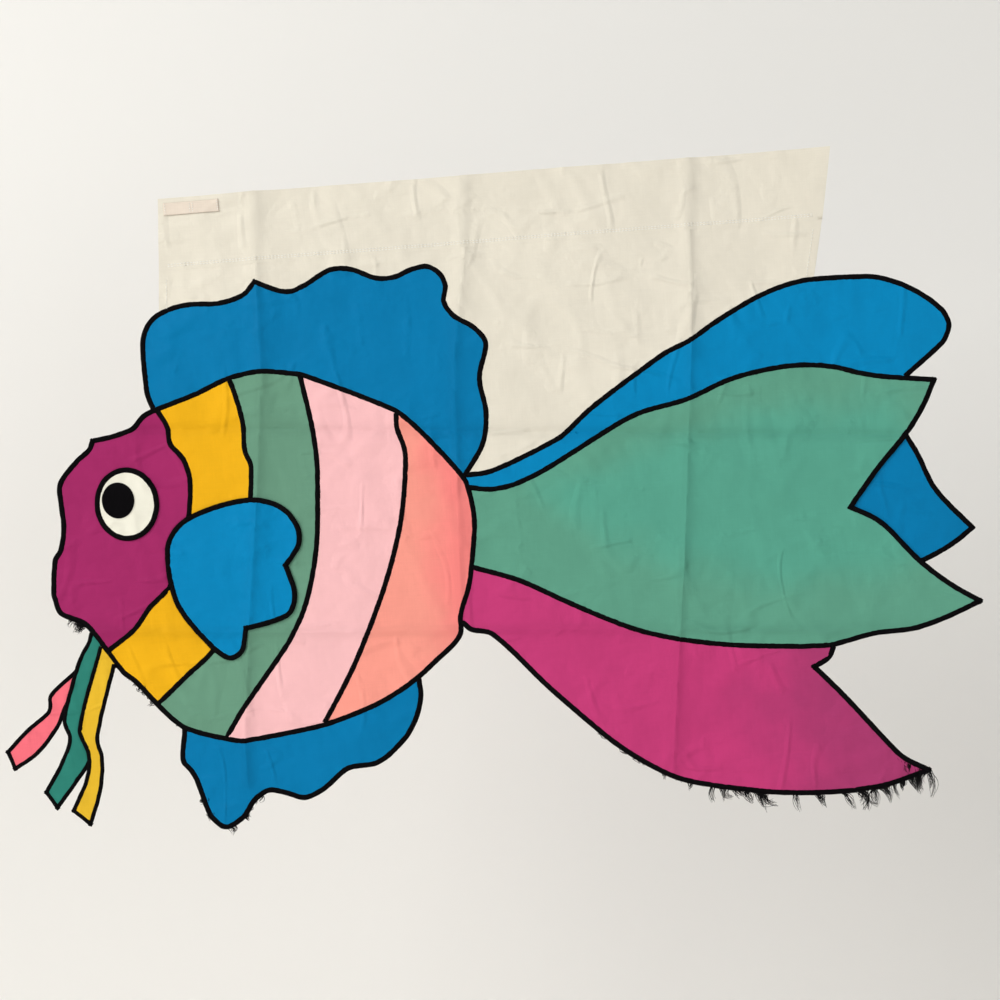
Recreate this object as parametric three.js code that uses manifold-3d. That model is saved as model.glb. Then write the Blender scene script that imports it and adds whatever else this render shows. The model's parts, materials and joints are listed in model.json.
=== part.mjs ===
// A flat fish streamer of sewn nylon. A pole sleeve carries a white field, the fish is sewn
// under the field, and each colour is a separate panel edged with a satin-stitched black line.
// Millimetres, +Z up. The origin is the middle of the pole channel, X runs along the pole
// and the face of the cloth looks along -Y.

import * as THREE from "three";
import { mergeVertices } from "three/addons/utils/BufferGeometryUtils.js";
import Module from "manifold-3d";

const wasm = await Module();
wasm.setup();

// ---- Driving dimensions ----

const fish_span = 1031; // end of the pink barbel to the lower tail point, along X
const fish_drop = 590; // sleeve seam to the lowest point of the lower tail lobe
const sleeve_height = 75; // the flat front ply of the pole sleeve
const pole_diameter = 22; // the pole that the sleeve takes
const pole_clearance = 3; // slack round the pole, from front ply to back ply
const fabric = 0.8; // one ply of cloth
const satin_width = 6; // a black satin line
const satin_thickness = 2; // front of the line to its back
const crown_width = 0.8; // the raised middle of a satin line
const crown_thickness = 2.6;
const hem_width = 9;
const hem_start = 7; // how far below the field's top edge the hems begin
const lockstitch_width = 1.6; // the white stitching of the sleeve seam
const lockstitch_thickness = 0.5;
const lockstitch_rise = 4; // above the lower edge of the sleeve
const label_width = 58;
const label_height = 13;
const label_inset = 5; // from the sleeve's corner, both ways

// ---- Clearances and fineness ----

const seam_gap = 0.3; // between pieces that are sewn together
const hinge_gap = 2; // between pieces that swing past each other
const layer_gap = 0.4; // between plies that lie on each other
const chord_error = 0.7; // how far a facet may stray from its curve
const spline_steps = 8; // samples between two pattern points
const mitre_limit = 2.6; // in half widths
const oval_facets = 28;
const sleeve_facets = 14;
const cutter_depth = 12;

// ---- Worked out from them ----

const channel_depth = pole_diameter + pole_clearance;
const face_y = -(channel_depth + fabric) / 2; // middle of the sleeve's front ply
const seam_z = -sleeve_height / 2;
const sleeve_top = sleeve_height / 2;
const layer_pitch = crown_thickness + layer_gap; // a ply with satin, on another with satin
const patch_pitch = (fabric + satin_thickness) / 2 + layer_gap; // satin on plain cloth

// ---- The pattern sheet ----
// Points are x from the middle of the sleeve and z from the axis of the pole channel, at the
// sheet's own size. A line is a list of runs: each run is one smooth curve through its
// points, and two runs meet at a corner.

const sheet_span = 1031;
const sheet_drop = 590;
const sheet_seam = -37.5;

// The pattern point [x, z] at the size that is set above.
function placed([x, z]) {
  const across = (x * fish_span) / sheet_span;
  const down = ((z - sheet_seam) * fish_drop) / sheet_drop;
  return new THREE.Vector2(across, seam_z + down);
}

const body_line = [
  [[-370, -182], [-383, -188], [-394, -199], [-412, -205], [-428, -208], [-437, -209]],
  [[-437, -209], [-441, -218], [-455, -229], [-465, -241], [-474, -251]],
  [[-474, -251], [-475, -270], [-474, -290], [-476, -309], [-480, -322], [-486, -331]],
  [[-486, -331], [-489, -350], [-490, -367], [-485, -385]],
  [[-485, -385], [-475, -391], [-462, -397], [-453, -406], [-439, -429]],
  [[-439, -429], [-424, -452], [-412, -463], [-392, -488], [-366, -514], [-322, -530], [-304, -533.5]],
  [[-304, -533.5], [-262, -529], [-222, -524], [-160, -505], [-118, -482], [-71, -442]],
  [[-71, -442], [-68, -420], [-57, -390], [-49, -350], [-46, -320], [-49, -293], [-53, -279]],
  [[-53, -279], [-80, -243], [-118, -203], [-150, -187], [-185, -170], [-215, -157], [-258, -150.5]],
  [[-258, -150.5], [-290, -155], [-330, -170], [-370, -182]],
];

// The seams that divide the body into the head and four bands, from top to bottom. Each
// starts and ends outside the body.
const head_seam = [
  [[-374, -168], [-367, -184], [-359, -200], [-357, -218], [-344, -236], [-339, -258], [-344, -298],
    [-352, -330], [-368, -366], [-392, -388], [-409, -409], [-439, -429], [-452, -437]],
];
const yellow_seam = [
  [[-294, -140], [-289, -157], [-283, -180], [-279, -205], [-279, -232], [-274, -246], [-275, -265],
    [-280, -300], [-290, -350], [-308, -405], [-330, -438], [-358, -461], [-391, -489], [-402, -498]],
];
const green_seam = [
  [[-218, -142], [-215, -158], [-211, -185], [-207, -215], [-205, -240], [-207, -285], [-213, -340],
    [-228, -395], [-247, -431], [-275, -466], [-302, -500], [-322, -529], [-329, -542]],
];
const pink_seam = [
  [[-118, -190], [-118, -205], [-119, -222], [-113, -243], [-119, -300], [-135, -358], [-160, -418],
    [-190, -476], [-221, -524], [-229, -538]],
];

const dorsal_line = [
  [[-371, -181], [-376, -165], [-377, -130], [-375, -104], [-365, -88], [-347, -78.5], [-325, -75],
    [-292, -76], [-268, -69], [-255, -57]],
  [[-255, -57], [-238, -65], [-222, -69.5], [-205, -65], [-180, -51.5], [-165, -49.5], [-146, -54],
    [-130, -62], [-112, -63], [-90, -56], [-74, -54.5], [-62, -63], [-57, -76], [-60, -92], [-51, -108],
    [-32, -121], [-20, -137], [-23, -155], [-29, -175], [-25, -208], [-29, -238], [-38, -256], [-53, -276]],
];

const pectoral_line = [
  [[-292, -416], [-264, -411], [-245, -403], [-239, -383], [-246, -354]],
  [[-246, -354], [-231, -334], [-230, -317], [-242, -297], [-262, -286], [-284, -283.5], [-325, -291],
    [-352, -303], [-366, -322], [-368, -350], [-362, -384], [-348, -409], [-325, -437], [-311, -446],
    [-299, -440], [-292, -416]],
];

const belly_fin_line = [
  [[-364, -510], [-366, -530], [-369, -549]],
  [[-369, -549], [-360, -563], [-352, -583], [-346, -606], [-330, -621.5], [-309, -611], [-296, -594],
    [-281, -587], [-264, -591], [-245, -597.5], [-222, -588], [-198, -570.5], [-168, -567], [-141, -549],
    [-124, -526], [-116, -500], [-117, -478]],
];

const upper_lobe_line = [
  [[-54, -275], [-30, -274], [0, -264.5], [28, -253], [52, -242], [80, -219], [125, -190], [165, -165],
    [193, -153]],
  [[193, -153], [225, -134], [275, -110], [315, -100], [350, -100], [395, -103], [430, -119], [457, -141],
    [464, -157], [457, -174], [436, -191], [410, -211]],
];

const main_lobe_line = [
  [[-52, -287], [-30, -291.5], [-8, -290], [20, -281], [70, -256], [130, -226], [185, -214], [235, -196],
    [300, -187.5], [340, -192], [365, -200], [400, -208], [444, -214]],
  [[444, -214], [430, -241], [411, -267], [378, -302], [347, -340]],
  [[347, -340], [376, -357], [415, -402], [444, -428], [474, -448]],
  [[474, -448], [440, -461], [405, -470.5], [360, -473], [320, -481], [250, -478], [185, -469],
    [120, -452], [60, -424], [0, -391], [-30, -379], [-56, -370]],
];

const lower_lobe_line = [
  [[-72, -423], [-58, -436], [-36, -443]],
  [[-36, -443], [-12, -470], [40, -525], [95, -576], [148, -608.5], [195, -621], [250, -631], [310, -635],
    [360, -632], [407, -620]],
  [[407, -620], [382, -605], [352, -570], [325, -536], [296, -503]],
  [[296, -503], [312, -494], [320, -479]],
];

const rear_lobe_line = [
  [[22, -296], [100, -266], [200, -244], [300, -230], [398, -226]],
  [[398, -226], [408, -262], [421, -290], [436, -327], [472, -371]],
  [[472, -371], [455, -383], [415, -402], [340, -418], [240, -412], [130, -372], [60, -332], [22, -296]],
];

const green_barbel_line = [
  [[-452, -404], [-457, -418], [-467, -434], [-478, -462], [-489, -497]],
  [[-489, -497], [-485, -519], [-497, -545], [-514, -571]],
  [[-514, -571], [-504, -588]],
  [[-504, -588], [-482, -562], [-466, -538]],
  [[-466, -538], [-473, -508]],
  [[-473, -508], [-462, -474], [-452, -443], [-443, -418]],
];
const yellow_barbel_line = [
  [[-443, -418], [-452, -443], [-462, -474], [-473, -508]],
  [[-473, -508], [-466, -538], [-470, -560], [-486, -592]],
  [[-486, -592], [-470, -607]],
  [[-470, -607], [-457, -571], [-453, -540], [-456, -518]],
  [[-456, -518], [-446, -487], [-431, -438]],
];
const pink_barbel_line = [
  [[-450, -414], [-470, -444], [-486, -458], [-502, -471]],
  [[-502, -471], [-505, -487], [-528, -505], [-551, -526]],
  [[-551, -526], [-545, -544]],
  [[-545, -544], [-520, -529], [-496, -501], [-489, -486]],
  [[-489, -486], [-462, -446], [-443, -424]],
];

const eye_middle = [-406.5, -277.5];
const eye_half = [30.8, 35.6]; // to the middle of the black ring
const pupil_middle = [-415, -273];
const pupil_half = [17, 18.8];

// The white field: its two side edges, and a lower edge that runs inside the fish.
const field_top_left = [-349, 37.5];
const field_seam_left = [-354, -37.5];
const field_foot_left = [-359, -110];
const field_top_right = [355, 37.5];
const field_seam_right = [341, -37.5];
const field_foot_right = [326, -104];
const field_inside = [[270, -125], [150, -195], [50, -255], [-30, -285], [-60, -262], [-200, -110]];

// Points inside the next panel, through which a panel's own line is closed.
const upper_lobe_close = [[385, -240], [-20, -330], [-60, -300]];
const belly_fin_close = [[-240, -490]];
const lower_lobe_close = [[200, -430], [-30, -340], [-75, -380]];

// ---- Lines and flat shapes ----

// The points of a curve that are needed to stay within the chord error.
function thinned(points) {
  const first = points[0];
  const last = points[points.length - 1];
  const chord = new THREE.Line3(
    new THREE.Vector3(first.x, first.y, 0),
    new THREE.Vector3(last.x, last.y, 0),
  );
  const nearest = new THREE.Vector3();
  let worst = 0;
  let split = 0;
  for (let i = 1; i < points.length - 1; i += 1) {
    const point = new THREE.Vector3(points[i].x, points[i].y, 0);
    chord.closestPointToPoint(point, true, nearest);
    const stray = nearest.distanceTo(point);
    if (stray > worst) {
      worst = stray;
      split = i;
    }
  }
  if (worst <= chord_error) return [first, last];
  const rest = thinned(points.slice(split)).slice(1);
  return [...thinned(points.slice(0, split + 1)), ...rest];
}

// One run of the pattern as a faceted curve.
function faceted(run) {
  const corners = run.map(placed);
  const spots = corners.map((corner) => new THREE.Vector3(corner.x, corner.y, 0));
  const curve = new THREE.CatmullRomCurve3(spots, false, "centripetal");
  const samples = curve.getPoints((run.length - 1) * spline_steps);
  return thinned(samples.map((spot) => new THREE.Vector2(spot.x, spot.y)));
}

// All the points of a line, with its corners once each.
function traced(line) {
  return line.flatMap((run, i) => faceted(run).slice(i === 0 ? 0 : 1));
}

function traced_ring(line) {
  return traced(line).slice(0, -1);
}

function oval([x, z], [half_x, half_z]) {
  const points = [];
  for (let i = 0; i < oval_facets; i += 1) {
    const turn = (2 * Math.PI * i) / oval_facets;
    points.push(placed([x + half_x * Math.cos(turn), z + half_z * Math.sin(turn)]));
  }
  return points;
}

// The step from a corner to the mitred corner of a band one unit away.
function mitre(before, corner, after) {
  const arriving = before ? corner.clone().sub(before).normalize() : null;
  const leaving = after ? after.clone().sub(corner).normalize() : null;
  const along = (arriving || leaving).clone().add(leaving || arriving).normalize();
  const step = new THREE.Vector2(-along.y, along.x);
  const square = arriving || leaving;
  const cosine = step.x * -square.y + step.y * square.x;
  return step.multiplyScalar(Math.min(1 / Math.max(cosine, 0.01), mitre_limit));
}

// A flat shape. Its outer line runs anticlockwise, whichever way it was drawn.
function polygon(points, ...holes) {
  const round = THREE.ShapeUtils.isClockWise(points) ? points.slice().reverse() : points;
  const shape = new THREE.Shape(round);
  shape.holes.push(...holes.map((hole) => new THREE.Path(hole)));
  return shape;
}

// A band of even width along a line, open or closed into a ring.
function band_shape(points, width, closed) {
  const count = points.length;
  const steps = points.map((point, i) => {
    const before = closed || i > 0 ? points[(i + count - 1) % count] : null;
    const after = closed || i < count - 1 ? points[(i + 1) % count] : null;
    return mitre(before, point, after).multiplyScalar(width / 2);
  });
  const left = points.map((point, i) => point.clone().add(steps[i]));
  const right = points.map((point, i) => point.clone().sub(steps[i]));
  if (!closed) return polygon([...left, ...right.reverse()]);
  const size = (edge) => Math.abs(THREE.ShapeUtils.area(edge));
  return size(left) > size(right) ? polygon(left, right) : polygon(right, left);
}

// ---- Solids ----

// A flat shape as a slab that stands in the XZ plane, half its thickness each side of y = 0.
function slab(shape, thickness) {
  const geometry = new THREE.ExtrudeGeometry(shape, { depth: thickness, bevelEnabled: false });
  geometry.rotateX(Math.PI / 2);
  geometry.translate(0, thickness / 2, 0);
  return geometry;
}

function solid(geometry) {
  const bare = geometry.clone();
  bare.deleteAttribute("normal");
  bare.deleteAttribute("uv");
  const merged = mergeVertices(bare, 1e-3);
  return new wasm.Manifold(
    new wasm.Mesh({
      numProp: 3,
      vertProperties: merged.attributes.position.array,
      triVerts: new Uint32Array(merged.index.array),
    }),
  );
}

function geometry_of(made) {
  const mesh = made.getMesh();
  const geometry = new THREE.BufferGeometry();
  geometry.setAttribute("position", new THREE.BufferAttribute(mesh.vertProperties, 3));
  geometry.setIndex(new THREE.BufferAttribute(mesh.triVerts, 1));
  const flat = geometry.toNonIndexed();
  flat.computeVertexNormals();
  return flat;
}

function panel(points) {
  return solid(slab(polygon(points), fabric));
}

// A satin line: a flat column of stitches with a raised crown along its middle.
function satin(points, closed = false) {
  const column = solid(slab(band_shape(points, satin_width, closed), satin_thickness));
  const crown = solid(slab(band_shape(points, crown_width, closed), crown_thickness));
  return column.add(crown);
}

// What a satin line, or a whole panel with its line, takes away from its neighbours.
function line_cutter(points, gap, closed = false) {
  return solid(slab(band_shape(points, satin_width + 2 * gap, closed), cutter_depth));
}

function panel_cutter(points, gap) {
  const inside = solid(slab(polygon(points), cutter_depth));
  return inside.add(line_cutter(points, gap, true));
}

function less(made, ...cutters) {
  return cutters.reduce((left, cutter) => left.subtract(cutter), made);
}

// ---- Finishes ----

function cloth(colour) {
  return new THREE.MeshStandardMaterial({ color: colour, roughness: 0.62, metalness: 0 });
}

const white_cloth = cloth(0xece8dc);
const sky_cloth = cloth(0x0488c4);
const dorsal_cloth = cloth(0x0479b4);
const rear_cloth = cloth(0x0472b2);
const plum_cloth = cloth(0xa72966);
const rose_cloth = cloth(0xc0396f);
const yellow_cloth = cloth(0xfabd14);
const mint_cloth = cloth(0x7aa890);
const sea_cloth = cloth(0x5aa288);
const blush_cloth = cloth(0xf9c2c4);
const salmon_cloth = cloth(0xfd9f8a);
const coral_cloth = cloth(0xfb7482);
const teal_cloth = cloth(0x3a8474);
const amber_cloth = cloth(0xe9b92c);
const eye_cloth = cloth(0xf1efe0);
const black_thread = new THREE.MeshStandardMaterial({ color: 0x0c0a0c, roughness: 0.5, metalness: 0 });
const white_thread = new THREE.MeshStandardMaterial({ color: 0xe4dfcf, roughness: 0.55, metalness: 0 });

function piece(name, made, finish, y = 0) {
  const geometry = made.isBufferGeometry ? made : geometry_of(made);
  const mesh = new THREE.Mesh(geometry, finish);
  mesh.name = name;
  mesh.position.y = y;
  return mesh;
}

// ---- The pole sleeve ----

// The channel's section: a flat front ply and a back ply that bows out round the pole.
function sleeve_section() {
  const front = -channel_depth / 2 - fabric;
  const bow = channel_depth + 2 * fabric;
  const radius = (sleeve_top ** 2 + bow ** 2) / (2 * bow);
  const centre = front + bow - radius;
  const outer_turn = Math.acos((front - centre) / radius);
  const inner_radius = radius - fabric;
  const inner_turn = Math.acos((front + fabric - centre) / inner_radius);
  const bowed = (reach, turn) => {
    const points = [];
    for (let i = 0; i <= sleeve_facets; i += 1) {
      const angle = turn - (2 * turn * i) / sleeve_facets;
      points.push(new THREE.Vector2(centre + reach * Math.cos(angle), reach * Math.sin(angle)));
    }
    return points;
  };
  return polygon(bowed(radius, outer_turn), bowed(inner_radius, inner_turn));
}

function sleeve_corners() {
  const foot_left = placed(field_seam_left);
  const foot_right = placed(field_seam_right);
  const top_left = new THREE.Vector2(placed(field_top_left).x, sleeve_top);
  const top_right = new THREE.Vector2(placed(field_top_right).x, sleeve_top);
  return [foot_left, top_left, top_right, foot_right];
}

function pole_sleeve() {
  const [, top_left, top_right] = sleeve_corners();
  const spare = 2 * hem_width; // trimmed off by the slanted ends
  const length = top_right.x - top_left.x + 2 * spare;
  const tube = new THREE.ExtrudeGeometry(sleeve_section(), { depth: length, bevelEnabled: false });
  const along_x = new THREE.Matrix4().makeBasis(
    new THREE.Vector3(0, 1, 0),
    new THREE.Vector3(0, 0, 1),
    new THREE.Vector3(1, 0, 0),
  );
  tube.applyMatrix4(along_x);
  tube.translate(top_left.x - spare, 0, 0);
  const corners = sleeve_corners();
  corners.forEach((corner) => {
    corner.y *= 1 + 1 / sleeve_height; // past the sleeve's own edges, so that only its ends are cut
  });
  const ends = solid(slab(polygon(corners), 4 * channel_depth));
  return solid(tube).intersect(ends);
}

function sleeve_seam() {
  const [foot_left, , , foot_right] = sleeve_corners();
  const seam = new THREE.BoxGeometry(
    foot_right.x - foot_left.x - 2 * hem_width,
    lockstitch_thickness,
    lockstitch_width,
  );
  seam.translate((foot_left.x + foot_right.x) / 2, 0, seam_z + lockstitch_rise);
  return seam;
}

function care_label() {
  const [, top_left] = sleeve_corners();
  const tag = new THREE.BoxGeometry(label_width, fabric, label_height);
  tag.translate(
    top_left.x + label_inset + label_width / 2,
    0,
    sleeve_top - label_inset - label_height / 2,
  );
  return tag;
}

const sleeve_front = face_y - fabric / 2;
const sleeve = new THREE.Group();
sleeve.add(piece("pole_sleeve", pole_sleeve(), white_cloth));
sleeve.add(
  piece(
    "sleeve_seam_stitch",
    sleeve_seam(),
    white_thread,
    sleeve_front - seam_gap - lockstitch_thickness / 2,
  ),
);
sleeve.add(piece("care_label", care_label(), eye_cloth, sleeve_front - seam_gap - fabric / 2));

// ---- The fish, in the plane of the sleeve's front ply ----

const flag = new THREE.Group();
flag.position.y = face_y;

const body = traced_ring(body_line);
const body_cut = panel_cutter(body, seam_gap);
const body_clear = panel_cutter(body, hinge_gap);
const body_edge_cut = line_cutter(body, seam_gap, true);

// The head and the bands: the body, divided by its four seams.
function body_panels() {
  const seams = [head_seam, yellow_seam, green_seam, pink_seam].map(traced);
  const edges = body_line.flat().map(placed);
  const margin = 3 * satin_width;
  const left = Math.min(...edges.map((edge) => edge.x)) - margin;
  const right = Math.max(...edges.map((edge) => edge.x)) + margin;
  const upright = (x, seam) => [
    new THREE.Vector2(x, seam[0].y),
    new THREE.Vector2(x, seam[seam.length - 1].y),
  ];
  const sides = [upright(left, seams[0]), ...seams, upright(right, seams[3])];
  const whole = less(panel(body), body_edge_cut, ...seams.map((seam) => line_cutter(seam, seam_gap)));
  const finishes = [
    ["head_panel", plum_cloth],
    ["yellow_band", yellow_cloth],
    ["green_band", mint_cloth],
    ["pale_pink_band", blush_cloth],
    ["salmon_band", salmon_cloth],
  ];
  finishes.forEach(([name, finish], i) => {
    const between = polygon([...sides[i], ...sides[i + 1].slice().reverse()]);
    flag.add(piece(name, whole.intersect(solid(slab(between, cutter_depth))), finish));
  });
  const names = ["head_seam_satin", "yellow_seam_satin", "green_seam_satin", "pink_seam_satin"];
  const inside = solid(slab(polygon(body), cutter_depth));
  names.forEach((name, i) => {
    const line = satin(seams[i]).intersect(inside);
    flag.add(piece(name, less(line, body_edge_cut), black_thread));
  });
}

function eye() {
  const ring = oval(eye_middle, eye_half);
  const white = less(panel(ring), line_cutter(ring, seam_gap, true));
  flag.add(piece("eye_white", white, eye_cloth, -patch_pitch));
  flag.add(piece("eye_ring_satin", satin(ring, true), black_thread, -patch_pitch));
  const pupil = solid(slab(polygon(oval(pupil_middle, pupil_half)), fabric));
  flag.add(piece("pupil_satin", pupil, black_thread, -patch_pitch - fabric - layer_gap));
}

function pectoral_fin() {
  const ring = traced_ring(pectoral_line);
  const blade = less(panel(ring), line_cutter(ring, seam_gap, true));
  flag.add(piece("pectoral_fin", blade, sky_cloth, -layer_pitch));
  flag.add(piece("pectoral_fin_satin", satin(ring, true), black_thread, -layer_pitch));
}

body_panels();
flag.add(piece("body_edge_satin", satin(body, true), black_thread));
eye();
pectoral_fin();

// The dorsal fin and the two lobes that are sewn flat, each cut back by what it meets.
const dorsal = traced(dorsal_line);
const dorsal_cut = panel_cutter(dorsal, seam_gap);
const dorsal_edge = line_cutter(dorsal, seam_gap);
const dorsal_inside = solid(slab(polygon(dorsal), cutter_depth));
flag.add(piece("dorsal_fin", less(panel(dorsal), dorsal_edge, body_cut), dorsal_cloth));
flag.add(piece("dorsal_fin_satin", less(satin(dorsal), body_cut), black_thread));

const main_lobe = traced(main_lobe_line);
const main_cut = panel_cutter(main_lobe, seam_gap);
const main_clear = panel_cutter(main_lobe, hinge_gap);
const main_edge = line_cutter(main_lobe, seam_gap);
flag.add(piece("main_tail_lobe", less(panel(main_lobe), main_edge, body_cut), sea_cloth));
flag.add(piece("main_tail_lobe_satin", less(satin(main_lobe), body_cut), black_thread));

const upper_lobe = traced(upper_lobe_line);
const upper_area = [...upper_lobe, ...upper_lobe_close.map(placed)];
const upper_edge = line_cutter(upper_lobe, seam_gap);
const upper_met = [body_cut, main_cut, dorsal_edge, dorsal_inside];
const upper_panel = less(panel(upper_area), upper_edge, ...upper_met);
const upper_satin = less(satin(upper_lobe), ...upper_met);
flag.add(piece("upper_tail_lobe", upper_panel, sky_cloth));
flag.add(piece("upper_tail_lobe_satin", upper_satin, black_thread));

// The white field, cut back by the fish that is sewn under it, and its two side hems.
function field() {
  const top = seam_z - hinge_gap;
  const corner = (point) => new THREE.Vector2(placed(point).x, top);
  const outline = [
    corner(field_seam_left),
    corner(field_seam_right),
    placed(field_foot_right),
    ...field_inside.map(placed),
    placed(field_foot_left),
  ];
  const upper_cut = solid(slab(polygon(upper_area), cutter_depth)).add(upper_edge);
  const cloth_left = less(panel(outline), dorsal_cut, upper_cut, body_cut, main_cut);
  flag.add(piece("field", cloth_left, white_cloth));

  const hem = (upper, lower, side) => {
    const height = top - hem_start;
    const start = placed(upper);
    const end = placed(lower);
    const at_height = start.clone().lerp(end, (start.y - height) / (start.y - end.y));
    const edge = [at_height, end];
    const inner = edge.map((point) => new THREE.Vector2(point.x + side * hem_width, point.y));
    const strip = panel([edge[0], edge[1], inner[1], inner[0]]);
    return less(strip, dorsal_cut, upper_cut);
  };
  const behind = fabric + layer_gap;
  flag.add(piece("field_hem_left", hem(field_seam_left, field_foot_left, 1), white_cloth, behind));
  flag.add(piece("field_hem_right", hem(field_seam_right, field_foot_right, -1), white_cloth, behind));
}

field();

// ---- Pieces that swing ----

// A panel and its satin line on one ply, clear of what they swing past. The line is a ring
// where satin goes all the way round, and open where the root is sewn under the fish.
function flap(name, { area, line, ring = false }, finish, y, ...cutters) {
  const group = new THREE.Group();
  const blade = less(panel(area), line_cutter(line, seam_gap, ring), ...cutters);
  const edge = less(satin(line, ring), ...cutters);
  group.add(piece(name, blade, finish));
  group.add(piece(name + "_satin", edge, black_thread));
  group.position.y = y;
  return group;
}

const belly_fin = traced(belly_fin_line);
const belly_area = [...belly_fin, ...belly_fin_close.map(placed)];
flag.add(flap("belly_fin", { area: belly_area, line: belly_fin }, dorsal_cloth, 0, body_clear));

const lower_lobe = traced(lower_lobe_line);
const lower_area = [...lower_lobe, ...lower_lobe_close.map(placed)];
const lower_shape = { area: lower_area, line: lower_lobe };
flag.add(flap("lower_tail_lobe", lower_shape, rose_cloth, 0, body_clear, main_clear));

const rear_lobe = traced_ring(rear_lobe_line);
const rear_shape = { area: rear_lobe, line: rear_lobe, ring: true };
flag.add(flap("rear_tail_lobe", rear_shape, rear_cloth, layer_pitch));

const barbels = [
  ["green_barbel", green_barbel_line, teal_cloth, 0],
  ["yellow_barbel", yellow_barbel_line, amber_cloth, -layer_pitch],
  ["pink_barbel", pink_barbel_line, coral_cloth, layer_pitch],
];
barbels.forEach(([name, line, finish, y]) => {
  const edge = traced(line);
  flag.add(flap(name, { area: edge, line: edge }, finish, y, body_clear));
});

const streamer = new THREE.Group();
streamer.add(sleeve, flag);

export default streamer;
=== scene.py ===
"""A flat fish streamer of sewn nylon: the cloth panels, the satin-stitched lines that edge them,
the pole sleeve with its stitching and label, and the loose threads of a flag that has flown."""

import json
import math
import random

import bmesh
import bpy
import numpy as np
from mathutils import Matrix, Vector, noise
from mathutils.kdtree import KDTree


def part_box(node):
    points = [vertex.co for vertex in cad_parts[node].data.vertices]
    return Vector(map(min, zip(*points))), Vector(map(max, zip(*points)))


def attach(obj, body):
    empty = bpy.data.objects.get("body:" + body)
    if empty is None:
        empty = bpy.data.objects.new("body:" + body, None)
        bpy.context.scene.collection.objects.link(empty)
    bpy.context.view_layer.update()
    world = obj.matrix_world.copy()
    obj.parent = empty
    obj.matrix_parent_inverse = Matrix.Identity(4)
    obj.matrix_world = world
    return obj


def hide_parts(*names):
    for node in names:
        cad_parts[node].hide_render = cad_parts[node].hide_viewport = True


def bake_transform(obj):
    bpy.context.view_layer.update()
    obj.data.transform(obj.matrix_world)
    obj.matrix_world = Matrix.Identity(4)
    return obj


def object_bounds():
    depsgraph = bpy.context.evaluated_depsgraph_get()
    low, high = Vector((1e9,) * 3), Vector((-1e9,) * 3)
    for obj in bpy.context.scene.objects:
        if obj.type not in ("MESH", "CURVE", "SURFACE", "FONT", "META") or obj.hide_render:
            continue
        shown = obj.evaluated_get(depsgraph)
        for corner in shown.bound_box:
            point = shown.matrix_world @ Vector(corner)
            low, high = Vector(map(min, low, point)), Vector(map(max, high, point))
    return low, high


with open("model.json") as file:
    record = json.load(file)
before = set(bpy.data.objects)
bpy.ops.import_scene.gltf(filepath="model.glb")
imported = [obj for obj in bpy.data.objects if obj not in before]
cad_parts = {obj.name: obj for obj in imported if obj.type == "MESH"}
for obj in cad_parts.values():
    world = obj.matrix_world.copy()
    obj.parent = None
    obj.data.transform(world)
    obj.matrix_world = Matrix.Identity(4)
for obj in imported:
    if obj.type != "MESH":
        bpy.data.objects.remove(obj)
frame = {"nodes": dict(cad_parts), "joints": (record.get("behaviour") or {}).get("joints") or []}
cad_low, cad_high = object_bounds()
sleeve_low, sleeve_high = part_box("pole_sleeve")
joints = {joint["child"]: joint for joint in frame["joints"]}
cloth_y = joints["flag"]["pos_m"][1]

# ---- Sizes, in metres ----

cell = 0.0045  # the cloth is modelled in cells of this size
eye_cell = 0.003
sleeve_cell = 0.005
label_cell = 0.0015
merge = 1e-6
cloth_thickness = 0.0003
under_satin = 0.0031  # how far a panel reaches under the satin that edges it
under_hem = 0.0004
satin_width = 0.0057
barbel_satin_width = 0.0045
satin_thickness = 0.0018
satin_step = 0.0022
satin_wobble = 0.00022  # how far the side of a satin line wanders
satin_overlap = 0.0024  # past a junction or a sharp corner
flap_overlap = 0.0036  # past the gap that a flap's joint leaves
shortest_rim = 0.03  # a shorter rim on a satin solid is a leftover of a cut
crown_end = 0.0026  # a side of a crown that is shorter may be one of its ends
thread_pitch = 0.0009  # of the thread in satin
weave_pitch = 0.0011
thread_radius = 0.00036  # of a loose thread
fold_shade_width = 0.0038  # of the darker line of painted shade along a fold
hem_stitch_inset = 0.0078
seam_row_gap = 0.0022
swing_room = 0.8  # behind the sleeve, for the flag at the back of its swing

# ---- Shares and angles ----

layer_squeeze = 0.6  # plies lie closer together than their solids do
flat_angle = 0.01  # faces that meet at less are one face
sharp_turn = math.radians(48)  # a satin line that turns more has a corner there

# ---- Making things ----


def placed(name, data):
    """A new object in the scene."""
    made = bpy.data.objects.new(name, data)
    bpy.context.scene.collection.objects.link(made)
    return made


def mesh_of(name, made):
    """A mesh from a bmesh, which is freed."""
    mesh = bpy.data.meshes.new(name)
    made.to_mesh(mesh)
    made.free()
    return mesh


def curve_mesh(name, data):
    """The mesh that a curve makes. The curve itself is removed."""
    maker = placed(name, data)
    bpy.context.view_layer.update()
    drawn = maker.evaluated_get(bpy.context.evaluated_depsgraph_get())
    mesh = bpy.data.meshes.new_from_object(drawn)
    bpy.data.objects.remove(maker)
    bpy.data.curves.remove(data)
    mesh.name = name
    return mesh


# ---- Camera, stage and light ----


def place_camera():
    distance = 1.4514
    tilt = math.radians(4.5)
    data = bpy.data.cameras.new("camera")
    data.lens = 50
    data.sensor_width = 36
    camera = placed("camera", data)
    right = Vector((math.cos(tilt), 0, -math.sin(tilt)))
    upward = Vector((math.sin(tilt), 0, math.cos(tilt)))
    backward = right.cross(upward)
    aim = Vector((-0.0176, cloth_y, -0.3037))
    turned = Matrix((right, upward, backward)).transposed().to_4x4()
    camera.matrix_world = Matrix.Translation(aim + backward * distance) @ turned
    bpy.context.scene.camera = camera


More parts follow.
